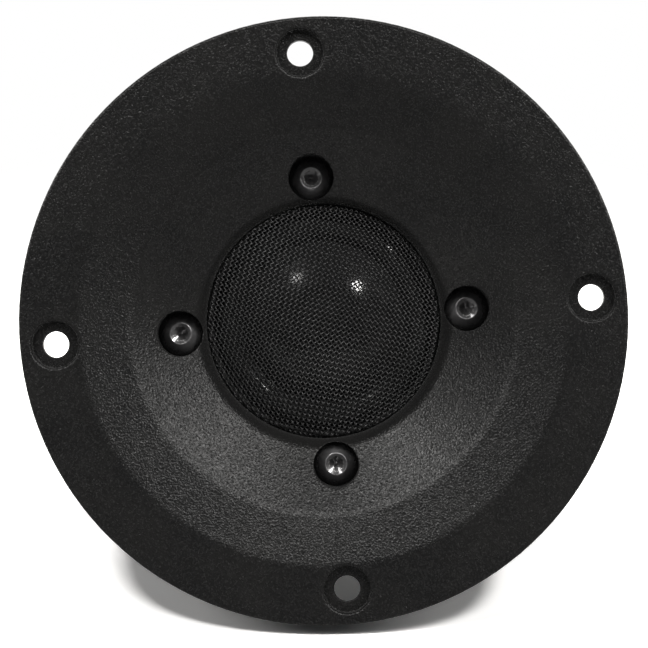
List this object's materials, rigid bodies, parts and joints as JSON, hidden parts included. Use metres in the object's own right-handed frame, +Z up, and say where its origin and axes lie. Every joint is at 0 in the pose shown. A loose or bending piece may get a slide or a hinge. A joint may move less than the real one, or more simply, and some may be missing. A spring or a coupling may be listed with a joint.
{
  "type": "car tweeter",
  "caption": "Flange-mounted car tweeter: soft dome behind a domed woven wire grille, in a wide two-angle waveguide faceplate, on a ring-magnet motor with a rear chamber.",
  "frame": {"origin": "on the acoustic axis, in the rear face of the mounting flange, which is the plane that rests on the baffle", "axes": "+Z up, +Y along the acoustic axis towards the back of the tweeter, so sound leaves towards -Y; two of the four mounting holes lie on the X axis and two on the Z axis"},
  "size_m": [0.104, 0.048, 0.104],
  "materials": {
    "textured_black_plastic": "matte",
    "black_plastic": "satin",
    "black_foam": "matte",
    "black_oxide_steel": "gloss",
    "black_wire_cloth": "satin",
    "gasket_fibre": "matte",
    "bright_steel": "satin",
    "phenolic_board": "satin",
    "tinned_brass": "satin",
    "tinned_copper": "satin",
    "solder": "gloss",
    "black_plated_steel": "satin",
    "ferrite": "matte",
    "copper": "gloss",
    "grey_felt": "matte",
    "zinc_steel": "gloss",
    "wadding": "matte",
    "label_paper": "satin",
    "coated_silk": "gloss",
    "aluminium_former": "satin",
    "enamelled_wire": "gloss"
  },
  "bodies": {
    "frame": {"faceplate": "textured_black_plastic", "flange_gasket": "black_foam", "faceplate_screws": "black_oxide_steel", "grille_mesh": "black_wire_cloth", "grille_retaining_ring": "black_plastic", "diaphragm_gasket": "gasket_fibre", "diaphragm_ring": "black_plastic", "alignment_pins": "bright_steel", "terminal_block": "phenolic_board", "terminal_tab_positive": "tinned_brass", "terminal_tab_negative": "tinned_brass", "terminal_strips": "tinned_copper", "solder_beads": "solder", "top_plate": "black_plated_steel", "ferrite_magnet": "ferrite", "t_yoke": "black_plated_steel", "copper_sleeve": "copper", "pole_felt": "grey_felt", "surround_felt": "grey_felt", "vent_plug": "grey_felt", "rear_cup": "black_plastic", "rear_cup_gasket": "black_foam", "rear_cup_screws": "zinc_steel", "chamber_wadding": "wadding", "rear_label": "label_paper"},
    "diaphragm": {"dome": "coated_silk", "surround": "coated_silk", "coil_former": "aluminium_former", "voice_coil": "enamelled_wire", "lead_wires": "tinned_copper"}
  },
  "joints": [
    {"name": "diaphragm_travel", "type": "slide", "parent": "frame", "child": "diaphragm", "axis": [0, 1, 0], "range_m": [-0.0005, 0.0005]}
  ]
}
